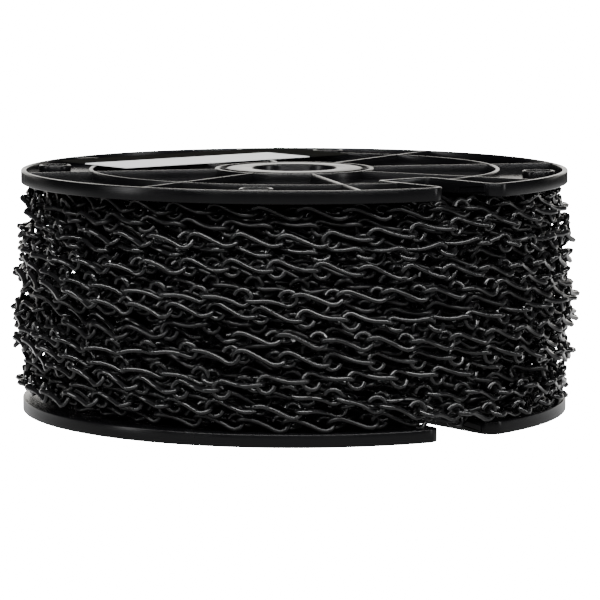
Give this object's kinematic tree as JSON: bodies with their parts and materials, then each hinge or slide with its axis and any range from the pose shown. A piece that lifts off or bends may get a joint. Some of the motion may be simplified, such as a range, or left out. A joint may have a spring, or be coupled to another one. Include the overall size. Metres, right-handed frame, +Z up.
{
  "type": "chain spool",
  "caption": "Black moulded spool with ribbed flanges, wound full of black wire chain with twisted double-loop links and a short loose end of hinged links",
  "frame": {"origin": "middle of the face the spool stands on", "axes": "+Z up the spool's axis, -Y towards the front, where the chain is seen, +X to the right"},
  "size_m": [0.1886, 0.1886, 0.0813],
  "materials": {
    "flange_plastic": "satin",
    "barrel_plastic": "matte",
    "sticker_paper": "satin",
    "wound_chain": "satin",
    "chain_wire": "satin"
  },
  "bodies": {
    "spool": {"lower_flange": "flange_plastic", "upper_flange": "flange_plastic", "barrel": "barrel_plastic", "sticker": "sticker_paper", "chain_layer_1": "wound_chain", "chain_layer_2": "wound_chain", "chain_layer_3": "wound_chain", "chain_layer_4": "wound_chain", "chain_layer_5": "wound_chain", "chain_layer_6": "wound_chain", "chain_layer_7": "wound_chain", "chain_turn_1": "wound_chain", "chain_turn_2": "wound_chain", "chain_turn_3": "wound_chain", "chain_turn_4": "wound_chain", "chain_turn_5": "wound_chain", "chain_turn_6": "wound_chain", "chain_turn_7": "wound_chain", "chain_turn_8": "wound_chain", "chain_turn_9": "wound_chain", "chain_turn_10": "wound_chain", "held_link": "chain_wire"},
    "loose_1": {"loose_link_1": "chain_wire"},
    "loose_2": {"loose_link_2": "chain_wire"},
    "loose_3": {"loose_link_3": "chain_wire"},
    "loose_4": {"loose_link_4": "chain_wire"},
    "loose_5": {"loose_link_5": "chain_wire"},
    "loose_6": {"loose_link_6": "chain_wire"}
  },
  "joints": [
    {"name": "loose_link_1_swing", "type": "hinge", "parent": "spool", "child": "loose_1", "pos_m": [-0.03379, 0.08472, 0.04412], "axis": [0, 0, 1], "range_deg": [0, 55]},
    {"name": "loose_link_2_swing", "type": "hinge", "parent": "loose_1", "child": "loose_2", "pos_m": [-0.02022, 0.08894, 0.04412], "axis": [0, 0, 1], "range_deg": [0, 55]},
    {"name": "loose_link_3_swing", "type": "hinge", "parent": "loose_2", "child": "loose_3", "pos_m": [-0.00616, 0.09101, 0.04412], "axis": [0, 0, 1], "range_deg": [0, 55]},
    {"name": "loose_link_4_swing", "type": "hinge", "parent": "loose_3", "child": "loose_4", "pos_m": [0.00805, 0.09086, 0.04412], "axis": [0, 0, 1], "range_deg": [0, 55]},
    {"name": "loose_link_5_swing", "type": "hinge", "parent": "loose_4", "child": "loose_5", "pos_m": [0.02207, 0.08851, 0.04412], "axis": [0, 0, 1], "range_deg": [0, 55]},
    {"name": "loose_link_6_swing", "type": "hinge", "parent": "loose_5", "child": "loose_6", "pos_m": [0.03555, 0.084, 0.04412], "axis": [0, 0, 1], "range_deg": [0, 55]}
  ]
}
